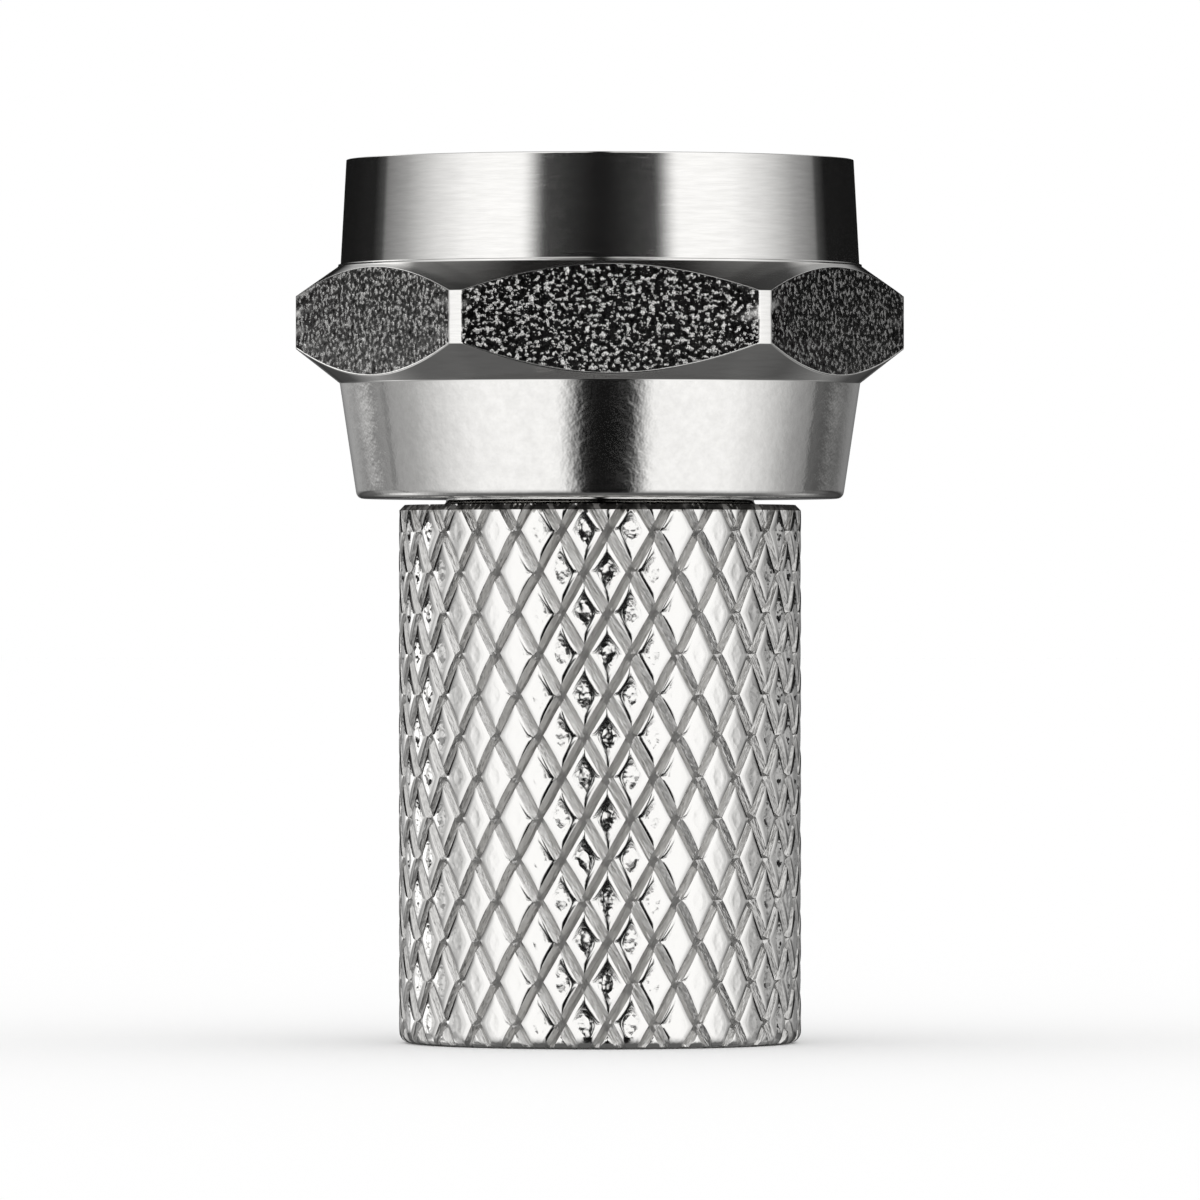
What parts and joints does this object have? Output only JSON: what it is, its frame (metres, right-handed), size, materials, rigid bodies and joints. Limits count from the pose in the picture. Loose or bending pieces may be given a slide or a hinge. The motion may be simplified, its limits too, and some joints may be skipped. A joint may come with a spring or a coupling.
{
  "type": "f connector",
  "caption": "Screw-on coaxial cable plug: slim knurled sleeve that takes the cable, and a wide hexagonal coupling nut with a smooth collar that spins freely on it.",
  "frame": {"origin": "centre of the sleeve's open lower end, which the part stands on", "axes": "+Z along the common axis of sleeve and nut, towards the port it screws onto; one flat of the hexagon faces -Y"},
  "size_m": [0.0148, 0.013, 0.0215],
  "materials": {
    "nut_nickel": "nickel plate: finely turned on the collar, blasted on the hexagon's flats, smooth cast on the tapered skirt",
    "sleeve_nickel": "bright nickel plate over a diamond knurl"
  },
  "bodies": {
    "plug_body": {"knurled_sleeve": "sleeve_nickel"},
    "nut": {"coupling_nut": "nut_nickel"}
  },
  "joints": [
    {"name": "nut_spin", "type": "hinge", "parent": "plug_body", "child": "nut", "pos_m": [0, 0, 0.014], "axis": [0, 0, 1], "continuous": true}
  ]
}
